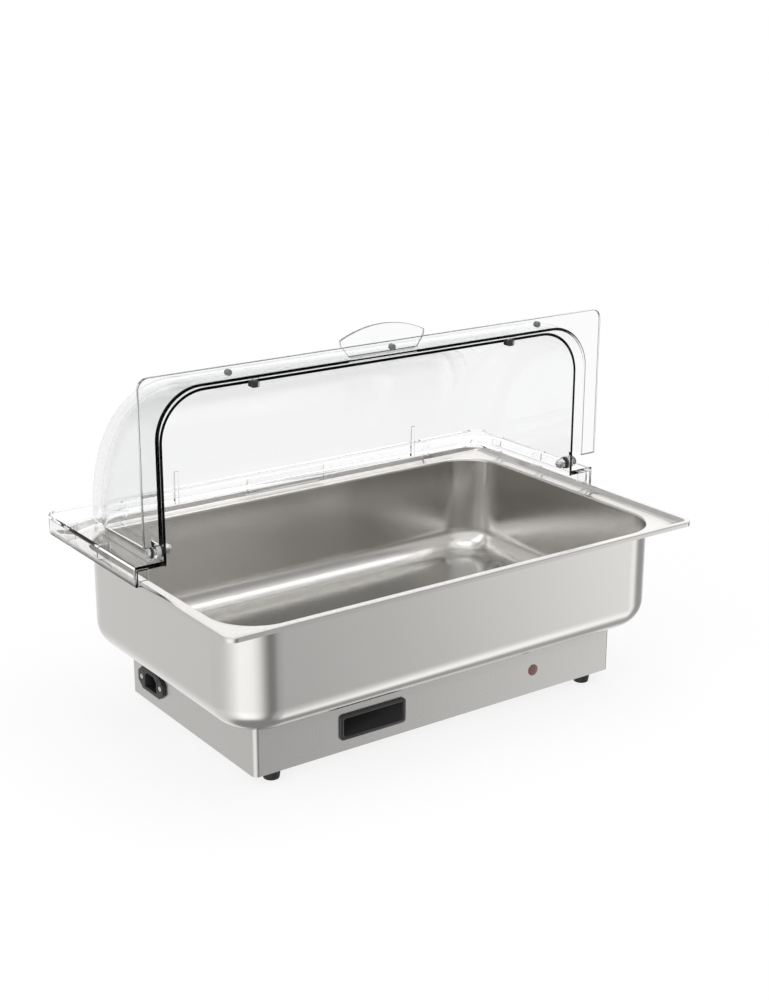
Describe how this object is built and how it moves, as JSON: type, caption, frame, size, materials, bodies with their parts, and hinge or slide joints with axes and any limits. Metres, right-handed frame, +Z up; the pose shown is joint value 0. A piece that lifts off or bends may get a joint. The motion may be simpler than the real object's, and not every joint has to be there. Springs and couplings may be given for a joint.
{
  "type": "electric bain-marie",
  "caption": "Deep stainless water pan on an electric base with feet, display, lamp and inlet, under a clear roll-top cover whose front half turns back on two pivots.",
  "frame": {"origin": "on the floor, under the centre of the pan", "axes": "+X along the long side, to the right as seen from the display side; -Y towards the display side; +Z up"},
  "size_m": [0.5792, 0.3716, 0.407],
  "materials": {
    "satin_steel": "satin stainless sheet, lightly brushed",
    "base_steel": "brushed stainless sheet",
    "plate_steel": "plain stainless sheet",
    "fixings_steel": "bright zinc and stainless fasteners",
    "heater_alloy": "plain rolled aluminium",
    "element_sheath": "dark annealed heater tube",
    "foot_rubber": "matte black moulded rubber",
    "stop_rubber": "matte black soft rubber",
    "bumper_rubber": "smoke grey soft bumper",
    "insulation_fibre": "pressed ceramic fibre",
    "black_plastic": "fine-grained moulded black plastic",
    "bezel_plastic": "satin black moulded bezel",
    "smoked_window": "smoked gloss window",
    "lamp_red": "dull red translucent lens",
    "terminal_plastic": "ivory moulded plastic",
    "brass": "bright brass",
    "live_sheath": "brown wire sheath",
    "neutral_sheath": "blue wire sheath",
    "earth_sheath": "green and yellow wire sheath",
    "lead_sheath": "black sensor lead",
    "lamp_sheath": "red lamp lead",
    "clear_cover": "clear polished polycarbonate",
    "spacer_nylon": "natural nylon",
    "washer_plastic": "black plastic washer"
  },
  "bodies": {
    "base": {"water_pan": "satin_steel", "housing": "base_steel", "bottom_plate": "plate_steel", "bottom_plate_screws": "fixings_steel", "foot_front_left": "foot_rubber", "foot_front_right": "foot_rubber", "foot_rear_left": "foot_rubber", "foot_rear_right": "foot_rubber", "foot_screws": "fixings_steel", "pan_studs": "fixings_steel", "pan_nuts": "fixings_steel", "heater_plate": "heater_alloy", "heating_element": "element_sheath", "heater_straps": "plate_steel", "heater_studs": "fixings_steel", "heater_nuts": "fixings_steel", "insulation_pad": "insulation_fibre", "insulation_tray": "plate_steel", "tray_screws": "fixings_steel", "sensor_probe": "fixings_steel", "sensor_clip": "plate_steel", "thermal_cutout": "black_plastic", "controller_case": "black_plastic", "display_bezel": "bezel_plastic", "display_window": "smoked_window", "controller_clips": "black_plastic", "lamp_lens": "lamp_red", "lamp_body": "black_plastic", "lamp_nut": "black_plastic", "inlet_body": "black_plastic", "inlet_pins": "brass", "inlet_screws": "fixings_steel", "inlet_nuts": "fixings_steel", "terminal_block": "terminal_plastic", "terminal_screws": "brass", "earth_stud": "fixings_steel", "earth_nuts": "brass", "live_wires": "live_sheath", "neutral_wires": "neutral_sheath", "earth_wires": "earth_sheath", "sensor_lead": "lead_sheath", "lamp_leads": "lamp_sheath"},
    "rear_cover": {"rear_cover": "clear_cover", "rear_frame": "clear_cover", "pivot_bolts": "fixings_steel", "pivot_spacers": "spacer_nylon", "pivot_washers": "washer_plastic", "cap_nuts": "fixings_steel"},
    "front_cover": {"front_cover": "clear_cover", "lid_bumpers": "bumper_rubber", "stop_pads": "stop_rubber"}
  },
  "joints": [
    {"name": "cover_lift", "type": "slide", "parent": "base", "child": "rear_cover", "axis": [0, 0, 1], "range_m": [0, 0.15]},
    {"name": "lid_swing", "type": "hinge", "parent": "rear_cover", "child": "front_cover", "pos_m": [0, -0.008, 0.215], "axis": [1, 0, 0], "range_deg": [0, 90]}
  ]
}
